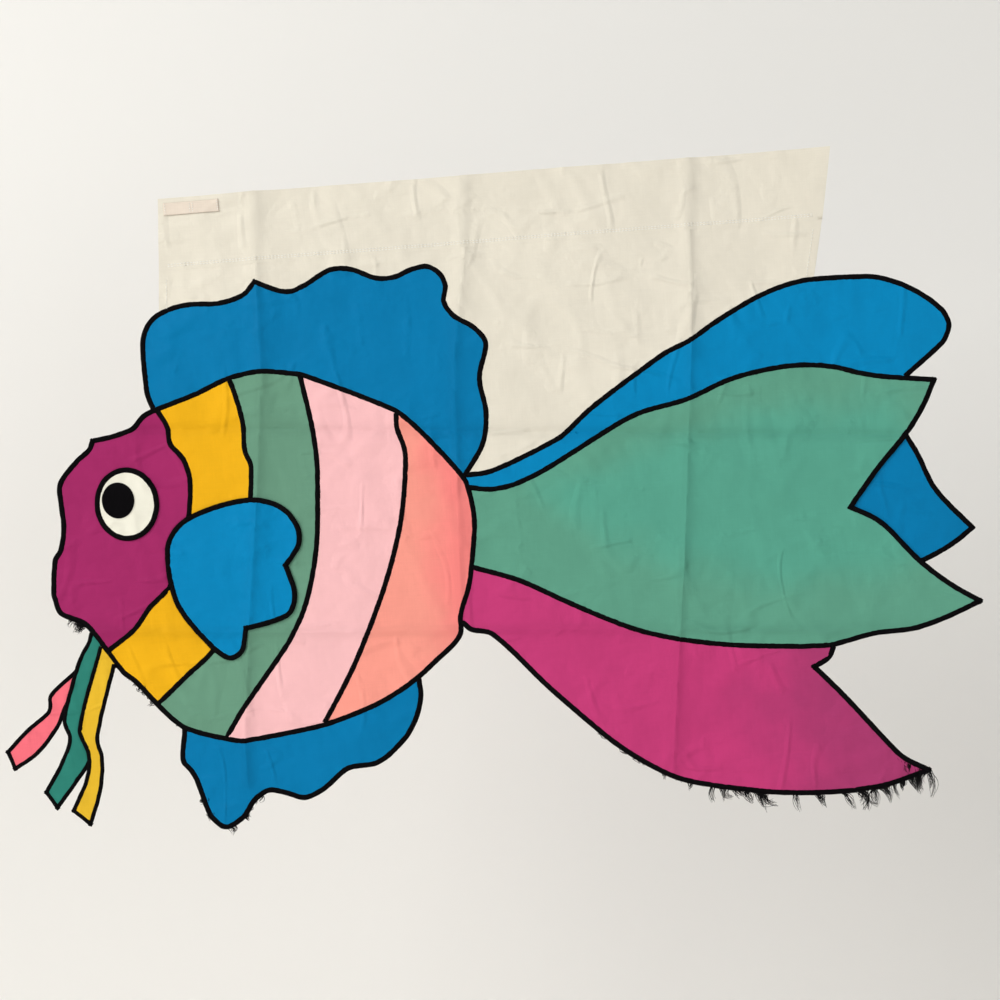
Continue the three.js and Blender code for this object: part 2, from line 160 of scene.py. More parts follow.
def stage_sheet(name, size, matrix, material):
    made = bmesh.new()
    bmesh.ops.create_grid(made, x_segments=1, y_segments=1, size=size / 2, matrix=matrix)
    mesh = mesh_of(name, made)
    mesh.materials.append(material)
    placed(name, mesh)


def soft_light(name, place, aim, size, power, colour=(1, 1, 1)):
    data = bpy.data.lights.new(name, "AREA")
    data.size = size
    data.energy = power
    data.color = colour
    light = placed(name, data)
    light.location = place
    light.rotation_mode = "QUATERNION"
    light.rotation_quaternion = (Vector(aim) - Vector(place)).to_track_quat("-Z", "Y")


# ---- Shader maths ----


class Signal:
    """A value that changes over a surface, and that sums can be written with."""

    def __init__(self, finish, socket):
        self.finish = finish
        self.socket = socket

    def _math(self, operation, first, second=0.0):
        return self.finish.node("ShaderNodeMath", {"operation": operation}, {0: first, 1: second})

    def __add__(self, other):
        return self._math("ADD", self, other)

    def __radd__(self, other):
        return self._math("ADD", other, self)

    def __sub__(self, other):
        return self._math("SUBTRACT", self, other)

    def __mul__(self, other):
        return self._math("MULTIPLY", self, other)

    def sine(self):
        return self._math("SINE", self)

    def size(self):
        return self._math("ABSOLUTE", self)


class Finish:
    """One material while it is made."""

    def __init__(self, name):
        self.material = bpy.data.materials.new(name)
        self.material.use_nodes = True
        self.tree = self.material.node_tree
        self.tree.nodes.clear()

    def node(self, kind, settings, inputs, output=0):
        made = self.tree.nodes.new(kind)
        for name, value in settings.items():
            setattr(made, name, value)
        for name, value in inputs.items():
            if isinstance(value, Signal):
                self.tree.links.new(value.socket, made.inputs[name])
            else:
                made.inputs[name].default_value = value
        return Signal(self, made.outputs[output]) if made.outputs else None

    def noise(self, place, scale, detail, stretch=(1, 1, 1)):
        stretched = self.node("ShaderNodeMapping", {}, {"Vector": place, "Scale": stretch})
        inputs = {"Vector": stretched, "Scale": scale, "Detail": detail}
        return self.node("ShaderNodeTexNoise", {}, inputs)

    def mix(self, share, first, second, blend="MIX"):
        settings = {"data_type": "RGBA", "blend_type": blend, "clamp_factor": True}
        return self.node("ShaderNodeMix", settings, {0: share, 6: first, 7: second}, 2)

    def spread(self, value, low, high):
        """Nothing at the low value, all at the high one, with a soft change between them."""
        inputs = {"Value": value, "From Min": low, "From Max": high}
        return self.node("ShaderNodeMapRange", {"interpolation_type": "SMOOTHSTEP"}, inputs)

    def bump(self, height, depth, **others):
        inputs = {"Height": height, "Distance": depth, **others}
        return self.node("ShaderNodeBump", {}, inputs)

    def surface(self, **inputs):
        named = {name.replace("_", " "): value for name, value in inputs.items()}
        shader = self.node("ShaderNodeBsdfPrincipled", {}, named)
        self.node("ShaderNodeOutputMaterial", {}, {"Surface": shader})
        return self.material


def linear(colour, lighter=1.0):
    """A colour as it's named on a chart, from 0 to 255, as light."""
    parts = [part / 255 for part in colour]
    light = [part / 12.92 if part <= 0.04045 else ((part + 0.055) / 1.055) ** 2.4 for part in parts]
    return (*[min(1.0, part * lighter) for part in light], 1.0)


# ---- Finishes ----

CLOTH_MAP = "Cloth"
THREAD_MAP = "Thread"
BACKED = "backed"
PAINTED_FOLD_SHADE = "painted_fold_shade"


def nylon(name, colour, second=None, mottle=0.10):
    """Plain-woven nylon. It turns to the second colour where other cloth is behind it. Its colour
    is darker in random patches, and it carries painted shade along the folds and crumple lines.
    """
    finish = Finish(name)
    place = finish.node("ShaderNodeUVMap", {"uv_map": CLOTH_MAP}, {})
    along = finish.node("ShaderNodeSeparateXYZ", {}, {0: place}, 0)
    down = finish.node("ShaderNodeSeparateXYZ", {}, {0: place}, 1)
    patches = finish.noise(place, 14, 4)
    warp_streaks = finish.noise(place, 60, 2, (14, 0.5, 1))
    weft_streaks = finish.noise(place, 60, 2, (0.5, 14, 1))
    grain = finish.noise(place, 900, 2)
    uneven = patches * 0.6 + warp_streaks * 0.2 + weft_streaks * 0.2
    base = linear(colour)
    if second:
        backed = finish.node("ShaderNodeAttribute", {"attribute_name": BACKED}, {}, 2)
        share = finish.spread(backed + (patches - 0.5) * 0.9, 0.1, 0.9)
        base = finish.mix(share, base, linear(second))
    # Painted shade along the folds, with some rubbed wear: the colour is darker where a fold's
    # shade would fall.
    fold_shade = finish.node("ShaderNodeAttribute", {"attribute_name": PAINTED_FOLD_SHADE}, {}, 2)
    upright = finish.noise(place, 17, 1, (1, 0.35, 1))
    slanted = finish.noise(place, 13, 1, (0.45, 1.2, 1))
    upright_lines = finish.spread((upright - 0.5).size(), 0.05, 0.0)
    slanted_lines = finish.spread((slanted - 0.5).size(), 0.04, 0.0)
    lines = upright_lines + slanted_lines
    # The crumple lines raise the cloth's bump. They also darken its colour a little, as painted
    # shade in the creases.
    crumpled = lines * finish.spread(patches, 0.46, 0.6)
    # Random patchy tone, plus painted shade along the folds and the crumple lines.
    worn = finish.spread(uneven, 0.62, 0.38) * 0.6 + fold_shade * 1.9 + crumpled * 0.12
    dark = 1 - mottle
    mottle_and_shade = finish.mix(worn, base, (dark, dark, dark, 1), blend="MULTIPLY")
    turn = 2 * math.pi / weave_pitch
    threads = (along * turn).sine() + (down * turn).sine()
    slack = finish.noise(place, 30, 2) + crumpled * 0.4
    weave = finish.bump(threads * 0.25 + grain * 0.5, 0.00012)
    return finish.surface(
        Base_Color=mottle_and_shade,
        Roughness=0.5 + grain * 0.2,
        Normal=finish.bump(slack, 0.0034, Strength=0.7, Normal=weave),
        Specular_IOR_Level=0.07,
    )


def satin_thread(name, colour):
    """Thread laid side by side across a line of stitching."""
    finish = Finish(name)
    place = finish.node("ShaderNodeUVMap", {"uv_map": THREAD_MAP}, {})
    along = finish.node("ShaderNodeSeparateXYZ", {}, {0: place}, 0)
    wander = finish.noise(place, 320, 2, (1, 0.4, 1))
    lay = (along * (2 * math.pi / thread_pitch) + wander * 5).sine()
    worn = finish.noise(place, 90, 3)
    fibre = finish.noise(place, 2200, 2, (1, 0.2, 1))
    shade = finish.spread(lay * 0.5 + fibre + worn * 0.6, 0.3, 1.7)
    return finish.surface(
        Base_Color=finish.mix(shade, linear(colour, 0.5), linear(colour, 1.3)),
        Roughness=0.42 + worn * 0.25,
        Normal=finish.bump(lay * 0.5 + fibre * 0.6, 0.00028),
        Specular_IOR_Level=0.04,
    )


def plain_thread(name, colour):
    finish = Finish(name)
    place = finish.node("ShaderNodeTexCoord", {}, {}, 3)
    fibre = finish.noise(place, 2600, 2)
    return finish.surface(
        Base_Color=finish.mix(fibre, linear(colour, 0.75), linear(colour, 1.2)),
        Roughness=0.5 + fibre * 0.2,
        Normal=finish.bump(fibre, 0.0001),
        Specular_IOR_Level=0.1,
    )


def one_sided(name, colour):
    """A backdrop that is seen from its front only, and that casts no shadow."""
    finish = Finish(name)
    paint = {"Base Color": linear(colour), "Roughness": 0.95}
    face = finish.node("ShaderNodeBsdfPrincipled", {}, paint)
    clear = finish.node("ShaderNodeBsdfTransparent", {}, {})
    behind = finish.node("ShaderNodeNewGeometry", {}, {}, 6)
    shadow = finish.node("ShaderNodeLightPath", {}, {}, 1)
    hidden = finish.node("ShaderNodeMath", {"operation": "MAXIMUM"}, {0: behind, 1: shadow})
    seen = finish.node("ShaderNodeMixShader", {}, {0: hidden, 1: face, 2: clear})
    finish.node("ShaderNodeOutputMaterial", {}, {"Surface": seen})
    return finish.material


def matt(name, colour):
    finish = Finish(name)
    place = finish.node("ShaderNodeTexCoord", {}, {}, 3)
    grain = finish.noise(place, 30, 4)
    shade = finish.mix(grain, linear(colour, 0.98), linear(colour))
    return finish.surface(Base_Color=shade, Roughness=0.9)


finishes = {
    "white_nylon": nylon("white_nylon", (232, 226, 210), mottle=0.08),
    "fin_blue_nylon": nylon("fin_blue_nylon", (0, 122, 176)),
    "sky_nylon": nylon("sky_nylon", (0, 134, 190)),
    "plum_nylon": nylon("plum_nylon", (164, 42, 102)),
    "rose_nylon": nylon("rose_nylon", (172, 60, 112), (199, 61, 121)),
    "yellow_nylon": nylon("yellow_nylon", (241, 180, 24)),
    "mint_nylon": nylon("mint_nylon", (106, 154, 129)),
    "sea_green_nylon": nylon("sea_green_nylon", (96, 161, 137), (89, 165, 143)),
    "pale_pink_nylon": nylon("pale_pink_nylon", (249, 193, 195), mottle=0.05),
    "salmon_nylon": nylon("salmon_nylon", (253, 160, 144), (249, 136, 132)),
    "coral_nylon": nylon("coral_nylon", (250, 116, 130)),
    "teal_nylon": nylon("teal_nylon", (46, 130, 116)),
    "amber_nylon": nylon("amber_nylon", (234, 188, 48)),
    "eye_nylon": nylon("eye_nylon", (240, 238, 222), mottle=0.05),
    "label_tape": nylon("label_tape", (232, 219, 203), mottle=0.12),
    "black_thread": satin_thread("black_thread", (11, 9, 12)),
    "white_thread": plain_thread("white_thread", (250, 246, 232)),
}
loose_black = plain_thread("loose_black_thread", (10, 9, 11))

# ---- How the cloth lies ----


def on_cloth(across, up):
    """A place on the cloth from its share of the whole piece's width and height."""
    return (
        cad_low.x + across * (cad_high.x - cad_low.x),
        cad_low.z + up * (cad_high.z - cad_low.z),
    )


seam_z = sleeve_low.z + 0.004

# Where the flag was folded for storage. For each fold: its line, in shares of the whole piece's
# width and height, how far its crest stands out, and how wide it is.
FOLDS = [
    (
        [(0.296, 1.0), (0.291, 0.861), (0.289, 0.723), (0.274, 0.516),
         (0.257, 0.335), (0.243, 0.154), (0.243, 0.09)],
        0.0036, 0.008,
    ),
    (
        [(0.508, 1.0), (0.502, 0.871), (0.484, 0.723), (0.476, 0.501), (0.471, 0.323)],
        0.0026, 0.007,
    ),
    (
        [(0.735, 1.0), (0.724, 0.72), (0.711, 0.545),
         (0.697, 0.353), (0.682, 0.19), (0.671, 0.056)],
        0.0034, 0.007,
    ),
    ([(0.073, 0.656), (0.30, 0.632), (0.60, 0.590), (1.0, 0.538)], -0.0019, 0.006),
    ([(0.073, 0.345), (0.30, 0.315), (0.60, 0.285), (1.0, 0.234)], 0.0019, 0.006),
]

# How far each kind of wave stands out, in metres.
broad_wave = 0.0035
slanted_wave = 0.0011
upright_wave = 0.0008
crinkle_height = 0.0013
gather_height = 0.0011
gather_reach = 0.013


def line_distance(x, z, points):
    """The distance of each place from a line of straight pieces."""
    nearest = np.full(x.shape, np.inf)
    for (x0, z0), (x1, z1) in zip(points, points[1:]):
        run_x, run_z = x1 - x0, z1 - z0
        share = ((x - x0) * run_x + (z - z0) * run_z) / (run_x**2 + run_z**2)
        share = np.clip(share, 0, 1)
        nearest = np.minimum(nearest, np.hypot(x - x0 - share * run_x, z - z0 - share * run_z))
    return nearest


def spots_along(path):
    """The places on a line, each with its distance from the start."""
    travelled = 0
    for before, after in zip(path, path[1:]):
        yield before.x, before.y, travelled
        travelled += (after - before).length


class Puckers:
    """The small waves that lines of satin stitching gather the cloth into."""

    depth = 0.0005
    reach = 0.011
    pitch = 0.017
    long_pitch = 0.041
    long_share = 0.6

    def __init__(self, paths):
        self.spots = [spot for path in paths for spot in spots_along(path)]
        self.tree = KDTree(len(self.spots))
        for number, (x, z, _) in enumerate(self.spots):
            self.tree.insert((x, 0, z), number)
        self.tree.balance()

    def at(self, x, z):
        _, number, distance = self.tree.find((x, 0, z))
        along = self.spots[number][2]
        wave = math.sin(2 * math.pi * along / self.pitch)
        wave += self.long_share * math.sin(2 * math.pi * along / self.long_pitch)
        return self.depth * wave * math.exp(-distance / self.reach)


def crinkle(x, z):
    """Short crisp creases that cross the cloth at random, in patches."""
    patch = noise.noise(Vector((x * 6, 2.9, z * 6)))
    down = noise.noise(Vector((x * 15 + z * 5, 5.3, z * 9)))
    over = noise.noise(Vector((x * 7, 9.1, z * 17 - x * 6)))
    ridge = max(0.0, 1 - abs(down) * 11) + 0.7 * max(0.0, 1 - abs(over) * 9)
    return crinkle_height * ridge * min(1.0, max(0.0, 0.55 + 1.6 * patch))


def gathers(x, z):
    """The short upright waves that the sleeve's seam draws the white cloth into."""
    near = math.exp(-abs(z - seam_z) / gather_reach)
    return gather_height * near * noise.noise(Vector((x * 95, 6.2, z * 14)))


def lift(x, z):
    """How far the cloth stands out toward its face at each place."""
    x, z = np.asarray(x, float), np.asarray(z, float)
    height = np.zeros(x.shape)
    for line, crest, width in FOLDS:
        distance = line_distance(x, z, [on_cloth(*point) for point in line])
        height += crest * np.exp(-distance / width)
    for number, (one_x, one_z) in enumerate(zip(x, z)):
        broad = noise.noise(Vector((one_x * 5.5, 0.3, one_z * 5.5)))
        slanted = noise.noise(Vector(((one_x + one_z) * 26, 7.1, (one_x - one_z) * 8)))
        upright = noise.noise(Vector((one_x * 34, 3.7, one_z * 7)))
        height[number] += broad_wave * broad + slanted_wave * slanted + upright_wave * upright
        height[number] += crinkle(one_x, one_z) + gathers(one_x, one_z)
        height[number] += puckers.at(one_x, one_z)
    return height


# ---- Cloth ----


def add_piece(name, mesh, material):
    mesh.materials.append(material)
    piece = placed(name, mesh)
    for face in mesh.polygons:
        face.use_smooth = True
    return piece


def joined_solid(node):
    """A CAD solid as a new bmesh, with its faces joined at their edges."""
    solid = bmesh.new()
    solid.from_mesh(frame["nodes"][node].data)
    bmesh.ops.remove_doubles(solid, verts=solid.verts[:], dist=merge)
    return solid


def join_flat_faces(made):
    bmesh.ops.dissolve_limit(made, angle_limit=flat_angle, verts=made.verts[:], edges=made.edges[:])


def faces_front(face):
    return face.normal.y <= -0.99


def flat_front(node):
    """The front of a flat solid as one outline, in a new bmesh."""
    sheet = joined_solid(node)
    sheet.normal_update()
    unseen = [face for face in sheet.faces if not faces_front(face)]
    bmesh.ops.delete(sheet, geom=unseen, context="FACES")
    join_flat_faces(sheet)
    return sheet


def widen(sheet, reach):
    """Moves the edge of a flat sheet outward."""
    made = bmesh.ops.inset_region(
        sheet, faces=sheet.faces[:], thickness=-reach, use_even_offset=True, use_boundary=True
    )
    bmesh.ops.delete(sheet, geom=made["faces"], context="FACES")


def cut(sheet, place, direction, drop=False):
    """Cuts a sheet along a plane, and can drop what lies beyond it."""
    bmesh.ops.bisect_plane(
        sheet,
        geom=sheet.verts[:] + sheet.edges[:] + sheet.faces[:],
        dist=merge,
        plane_co=place,
        plane_no=direction,
        clear_outer=drop,
    )


def into_cells(sheet, size=cell):
    """Cuts a flat sheet both ways, so that it can bend."""
    for axis, direction in ((0, Vector((1, 0, 0))), (2, Vector((0, 0, 1)))):
        places = [vert.co[axis] for vert in sheet.verts]
        low, high = min(places), max(places)
        count = math.ceil((high - low) / size)
        for number in range(1, count):
            place = direction * (low + (high - low) * number / count)
            cut(sheet, place, direction)


def along_folds(sheet):
    """Cuts a flat sheet along the folds that cross it, so that their crests stay crisp."""
    for line, _, _ in FOLDS:
        points = [on_cloth(*point) for point in line]
        for (x0, z0), (x1, z1) in zip(points, points[1:]):
            across = Vector((z0 - z1, 0, x1 - x0)).normalized()
            if in_reach(sheet, (x0, z0), (x1, z1)):
                cut(sheet, Vector((x0, 0, z0)), across)


def in_reach(sheet, start, end):
    """Whether a sheet's box reaches the box of a straight line."""
    places = [(vert.co.x, vert.co.z) for vert in sheet.verts]
    for axis in (0, 1):
        low, high = sorted((start[axis], end[axis]))
        along = [place[axis] for place in places]
        if max(along) < low or min(along) > high:
            return False
    return True


def cut_size(sheet):
    """The sides of the smallest rectangle of cloth that a panel can be cut from, and its area."""
    places = np.array([(vert.co.x, vert.co.z) for vert in sheet.verts])
    area = sum(face.calc_area() for face in sheet.faces)
    best = None
    for degrees in range(0, 90, 3):
        turn = math.radians(degrees)
        cosine, sine = math.cos(turn), math.sin(turn)
        turned = places @ np.array([[cosine, -sine], [sine, cosine]])
        width, length = np.ptp(turned, axis=0)
        if best is None or width * length < best[0] * best[1]:
            best = (width, length)
    return best, area


def flat_uvs(mesh, name):
    layer = mesh.uv_layers.new(name=name)
    for corner in mesh.loops:
        place = mesh.vertices[corner.vertex_index].co
        layer.data[corner.index].uv = (place.x, place.z)


def mark_fold_shade(mesh):
    """Notes how near each place is to a fold, where the cloth is painted darker: painted shade of
    the fold, with some rubbed wear.
    """
    x = np.array([vert.co.x for vert in mesh.vertices])
    z = np.array([vert.co.z for vert in mesh.vertices])
    nearest = np.full(x.shape, np.inf)
    for line, _, _ in FOLDS:
        nearest = np.minimum(nearest, line_distance(x, z, [on_cloth(*point) for point in line]))
    attribute = mesh.attributes.new(PAINTED_FOLD_SHADE, "FLOAT", "POINT")
    for number, distance in enumerate(nearest):
        attribute.data[number].value = math.exp(-distance / fold_shade_width)


def raise_cloth(mesh, base_y):
    """Lays a flat mesh along the cloth's own folds and waves."""
    x = [vert.co.x for vert in mesh.vertices]
    z = [vert.co.z for vert in mesh.vertices]
    for vert, height in zip(mesh.vertices, lift(x, z)):
        vert.co.y += base_y - height


def ply_y(node):
    """The middle of a panel's own ply."""
    low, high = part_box(node)
    return cloth_y + ((low.y + high.y) / 2 - cloth_y) * layer_squeeze


def thin(piece):
    wall = piece.modifiers.new("thickness", "SOLIDIFY")
    wall.thickness = cloth_thickness
    wall.offset = 0


def panel(node, slot, trims=(), reach=under_satin, size=cell):
    """A cloth panel from its flat solid, reaching under the satin round it."""
    sheet = flat_front(node)
    widen(sheet, reach)
    for place, direction in trims:
        cut(sheet, place, direction, drop=True)
    along_folds(sheet)
    into_cells(sheet, size)
    for vert in sheet.verts:
        vert.co.y = 0
    for edge in sheet.edges:
        edge.smooth = not edge.is_boundary
    flat, area = cut_size(sheet)
    name = node + "_cloth"
    mesh = mesh_of(name, sheet)
    flat_uvs(mesh, CLOTH_MAP)
    mark_fold_shade(mesh)
    raise_cloth(mesh, ply_y(node))
    piece = add_piece(name, mesh, finishes[slot])
    thin(piece)
    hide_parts(node)
    piece["flat_size"] = [*flat, area]
    return piece


def mark(piece, share_at):
    """Sets how far a panel turns to its second colour at each place."""
    attribute = piece.data.attributes.new(BACKED, "FLOAT", "POINT")
    for number, vert in enumerate(piece.data.vertices):
        attribute.data[number].value = share_at(vert.co.x, vert.co.z)


def behind_it(node, blur):
    """How far a place lies inside another panel's outline, from 0 to 1 across a soft edge."""
    behind = flat_front(node)
    rings = [[(vert.co.x, vert.co.z) for vert in face.verts] for face in behind.faces]
    behind.free()

    def share_at(x, z):
        here = (np.array([x]), np.array([z]))
        edge = min(line_distance(*here, ring + ring[:1])[0] for ring in rings)
        inside = any(is_inside(x, z, ring) for ring in rings)
        return min(1.0, max(0.0, 0.5 + (edge if inside else -edge) / blur))

    return share_at


def from_left(low, high):
    """A share that grows from the low place to the high one along the pole."""
    return lambda x, z: min(1.0, max(0.0, (x - low) / (high - low)))


def is_inside(x, z, ring):
    inside = False
    for (x0, z0), (x1, z1) in zip(ring, ring[1:] + ring[:1]):
        if (z0 > z) != (z1 > z) and x < x0 + (z - z0) * (x1 - x0) / (z1 - z0):
            inside = not inside
    return inside


# ---- Satin lines ----


def crown_loops(node):
    """The rims of the raised crown along a satin line, each as a ring of places."""
    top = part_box(node)[0].y
    crown = joined_solid(node)
    crown.normal_update()
    lower = [
        face
        for face in crown.faces
        if not faces_front(face) or face.calc_center_median().y > top + 0.0001
    ]
    bmesh.ops.delete(crown, geom=lower, context="FACES")
    # In the order of the mesh, because a set's order would change from run to run.
    rim = dict.fromkeys(edge for edge in crown.edges if edge.is_boundary)
    loops = []
    while rim:
        edge, _ = rim.popitem()
        start, vert = edge.verts
        loop = [Vector((start.co.x, start.co.z))]
        while vert != start:
            loop.append(Vector((vert.co.x, vert.co.z)))
            edge = next(other for other in vert.link_edges if other in rim)
            del rim[edge]
            vert = edge.other_vert(vert)
        loops.append(loop)
    crown.free()
    return sorted(loops, key=ring_length, reverse=True)


def ring_length(loop):
    return sum((after - before).length for before, after in zip(loop, loop[1:] + loop[:1]))


def opened(loop):
    """The two long sides of a crown that has two ends."""
    count = len(loop)
    steps = [(loop[(i + 1) % count] - loop[i]).length for i in range(count)]
    travelled = np.concatenate(([0], np.cumsum(steps)))
    half = travelled[-1] / 2
    short = [i for i in range(count) if steps[i] < crown_end]
    pairs = [(i, j) for i in short for j in short if i < j]
    first, second = min(pairs, key=lambda pair: abs(travelled[pair[1]] - travelled[pair[0]] - half))
    return loop[first + 1 : second + 1], loop[second + 1 :] + loop[: first + 1]


def between(side, other):
    """The line midway between the two sides of a crown."""
    return [(point + min(other, key=lambda far: (far - point).length)) / 2 for point in side]


def spline(points):
    """A smooth line through the points, in short even steps."""
    dense = [points[0]]
    for i in range(len(points) - 1):
        before = points[max(i - 1, 0)]
        start, end = points[i], points[i + 1]
        after = points[min(i + 2, len(points) - 1)]
        span = (end - start).length
        leave = (end - before).normalized() * span / 3
        arrive = (after - start).normalized() * span / 3
        for step in range(1, 13):
            t = step / 12
            one, two = start + leave, end - arrive
            near = start * (1 - t) ** 3 + one * 3 * t * (1 - t) ** 2
            dense.append(near + two * 3 * t**2 * (1 - t) + end * t**3)
    steps = [(after - before).length for before, after in zip(dense, dense[1:])]
    travelled = np.concatenate(([0], np.cumsum(steps)))
    count = max(2, round(travelled[-1] / satin_step))
    wanted = np.linspace(0, travelled[-1], count + 1)
    x = np.interp(wanted, travelled, [point.x for point in dense])
    z = np.interp(wanted, travelled, [point.y for point in dense])
    return [Vector(pair) for pair in zip(x, z)]


def sharp(before, corner, after):
    return (corner - before).angle(after - corner) > sharp_turn


def runs_of(points, closed):
    """A line as separate smooth runs, broken at its sharp corners."""
    if closed:
        count = len(points)
        after = points[1:] + points[:1]
        corners = [i for i in range(count) if sharp(points[i - 1], points[i], after[i])]
        start = corners[0] if corners else 0
        points = points[start:] + points[: start + 1]
    runs = [[points[0]]]
    for before, corner, after in zip(points, points[1:], points[2:]):
        runs[-1].append(corner)
        if sharp(before, corner, after):
            runs.append([corner])
    runs[-1].append(points[-1])
    return runs


def satin_path(node):
    """The middle of a satin line as a list of runs."""
    runs = []
    loops = crown_loops(node)
    closed = len(loops) == 2 and ring_length(loops[1]) > 0.9 * ring_length(loops[0])
    if closed:
        runs += runs_of(between(*loops), True)
    else:
        for loop in loops:
            if ring_length(loop) >= shortest_rim:
                runs += runs_of(between(*opened(loop)), False)
    on_flap = not closed and node.removesuffix("_satin") in joints
    past_end = flap_overlap if on_flap else satin_overlap
    stretched = []
    for run in runs:
        past_head = past_end if run is runs[0] else satin_overlap
        past_tail = past_end if run is runs[-1] else satin_overlap
        head = (run[0] - run[1]).normalized() * past_head
        tail = (run[-1] - run[-2]).normalized() * past_tail
        smooth = spline(run)
        stretched.append([smooth[0] + head, *smooth, smooth[-1] + tail])
    return stretched


def is_line(node):
    return node.endswith("_satin") and node != "pupil_satin"


satin_paths = {node: satin_path(node) for node in sorted(filter(is_line, frame["nodes"]))}
puckers = Puckers([path for paths in satin_paths.values() for path in paths])


def oval_section(name, width, thickness, sides=10):
    """The rounded section of a satin line, as a closed curve."""
    data = bpy.data.curves.new(name, "CURVE")
    data.dimensions = "2D"
    line = data.splines.new("POLY")
    line.points.add(sides - 1)
    for number, point in enumerate(line.points):
        turn = 2 * math.pi * number / sides
        point.co = (width / 2 * math.cos(turn), thickness / 2 * math.sin(turn), 0, 1)
    line.use_cyclic_u = True
    return placed(name, data)


def swept(name, paths, section):
    """A section carried along flat lines, as a mesh that stands in the XZ plane."""
    data = bpy.data.curves.new(name, "CURVE")
    data.dimensions = "2D"
    data.fill_mode = "NONE"
    data.bevel_mode = "OBJECT"
    data.bevel_object = section
    data.use_fill_caps = True
    for path in paths:
        line = data.splines.new("POLY")
        line.points.add(len(path) - 1)
        for point, place in zip(line.points, path):
            point.co = (place.x, place.y, 0, 1)
    mesh = curve_mesh(name, data)
    mesh.transform(Matrix.Rotation(math.pi / 2, 4, "X"))
    return mesh


def thread_uvs(mesh, paths):
    """How far along the line, and how far across it, each place on a satin line is."""
    spots = []
    total = 0
    for path in paths:
        for before, after in zip(path, path[1:]):
            spots.append((before, (after - before).normalized(), total))
            total += (after - before).length
        spots.append((path[-1], (path[-1] - path[-2]).normalized(), total))
    tree = KDTree(len(spots))
    for number, (place, _, _) in enumerate(spots):
        tree.insert((place.x, 0, place.y), number)
    tree.balance()
    along = []
    for vert in mesh.vertices:
        _, number, _ = tree.find((vert.co.x, 0, vert.co.z))
        place, direction, travelled = spots[number]
        offset = Vector((vert.co.x, vert.co.z)) - place
        along.append((travelled + offset.dot(direction), offset.cross(direction)))
    while mesh.uv_layers:
        mesh.uv_layers.remove(mesh.uv_layers[0])
    layer = mesh.uv_layers.new(name=THREAD_MAP)
    for corner in mesh.loops:
        layer.data[corner.index].uv = along[corner.vertex_index]


satin_section = oval_section("satin_section", satin_width, satin_thickness)
barbel_section = oval_section("barbel_section", barbel_satin_width, satin_thickness)


def satin(node):
    """A raised black satin line from the flat solid that stands for it."""
    name = node.replace("_satin", "_stitching")
    paths = satin_paths[node]
    mesh = swept(name, paths, barbel_section if "barbel" in node else satin_section)
    thread_uvs(mesh, paths)
    for vert in mesh.vertices:
        vert.co.x += satin_wobble * noise.noise(vert.co * 420)
        vert.co.z += satin_wobble * noise.noise(vert.co * 390 + Vector((3, 0, 5)))
    raise_cloth(mesh, ply_y(node))
    piece = add_piece(name, mesh, finishes["black_thread"])
    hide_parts(node)
    return piece


# ---- Baking pieces in place ----


def bend(piece, child):
    """Bakes a piece's place into its mesh. The way away from the child's joint is worked out, but
    nothing turns with it.
    """
    joint = joints[child]
    away = Vector(joint["axis"]).cross(Vector((0, 1, 0))).normalized()
    if away.z > 0:
        away.negate()
    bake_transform(piece)


def declare_cloth(cloth):
    width, length, area = cloth["flat_size"]


def flat_pieces():
    """The panels that are sewn flat into the flag, each with the satin that edges it."""
    panels = {
        "head_panel": ("plum_nylon", "head_seam_satin"),
        "yellow_band": ("yellow_nylon", "yellow_seam_satin"),
        "green_band": ("mint_nylon", "green_seam_satin"),
        "pale_pink_band": ("pale_pink_nylon", "pink_seam_satin"),
        "salmon_band": ("salmon_nylon", "body_edge_satin"),
        "eye_white": ("eye_nylon", "eye_ring_satin"),
        "pectoral_fin": ("sky_nylon", "pectoral_fin_satin"),
        "upper_tail_lobe": ("sky_nylon", "upper_tail_lobe_satin"),
        "main_tail_lobe": ("sea_green_nylon", "main_tail_lobe_satin"),
    }
    for node, (slot, edge) in panels.items():
        cloth = panel(node, slot, size=eye_cell if node == "eye_white" else cell)
        line = satin(edge)
        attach(cloth, "flag")
        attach(line, "flag")
        declare_cloth(cloth)
        if node == "main_tail_lobe":
            mark(cloth, behind_it("rear_tail_lobe", blur=0.07))
        if node == "salmon_band":
            low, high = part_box(node)
            mark(cloth, from_left((low.x + high.x) / 2, high.x))


def dorsal_fin():
    cloth = panel("dorsal_fin", "fin_blue_nylon")
    line = satin("dorsal_fin_satin")
    declare_cloth(cloth)
    bend(cloth, "flag")
    bend(line, "flag")


def flap(body, slot):
    cloth = panel(body, slot)
    if body == "lower_tail_lobe":
        low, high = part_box(body)
        mark(cloth, from_left(high.x - 0.04, (low.x + high.x) / 2))
    line = satin(body + "_satin")
    declare_cloth(cloth)
    bend(cloth, body)
    bend(line, body)


def pupil():
    """A disc of dense embroidery, a little domed."""
    low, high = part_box("pupil_satin")
    middle = Vector(((low.x + high.x) / 2, 0, (low.z + high.z) / 2))
    half_x, half_z = (high.x - low.x) / 2, (high.z - low.z) / 2
    rise = 0.0011
    shape = Matrix.Translation(middle) @ Matrix.Diagonal((half_x, rise, half_z, 1))
    dome = bmesh.new()
    bmesh.ops.create_uvsphere(dome, u_segments=48, v_segments=24, radius=1, matrix=shape)
    mesh = mesh_of("pupil_embroidery", dome)
    flat_uvs(mesh, THREAD_MAP)
    raise_cloth(mesh, ply_y("pupil_satin"))
    piece = add_piece("pupil_embroidery", mesh, finishes["black_thread"])
    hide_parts("pupil_satin")
    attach(piece, "flag")


# ---- The white header ----


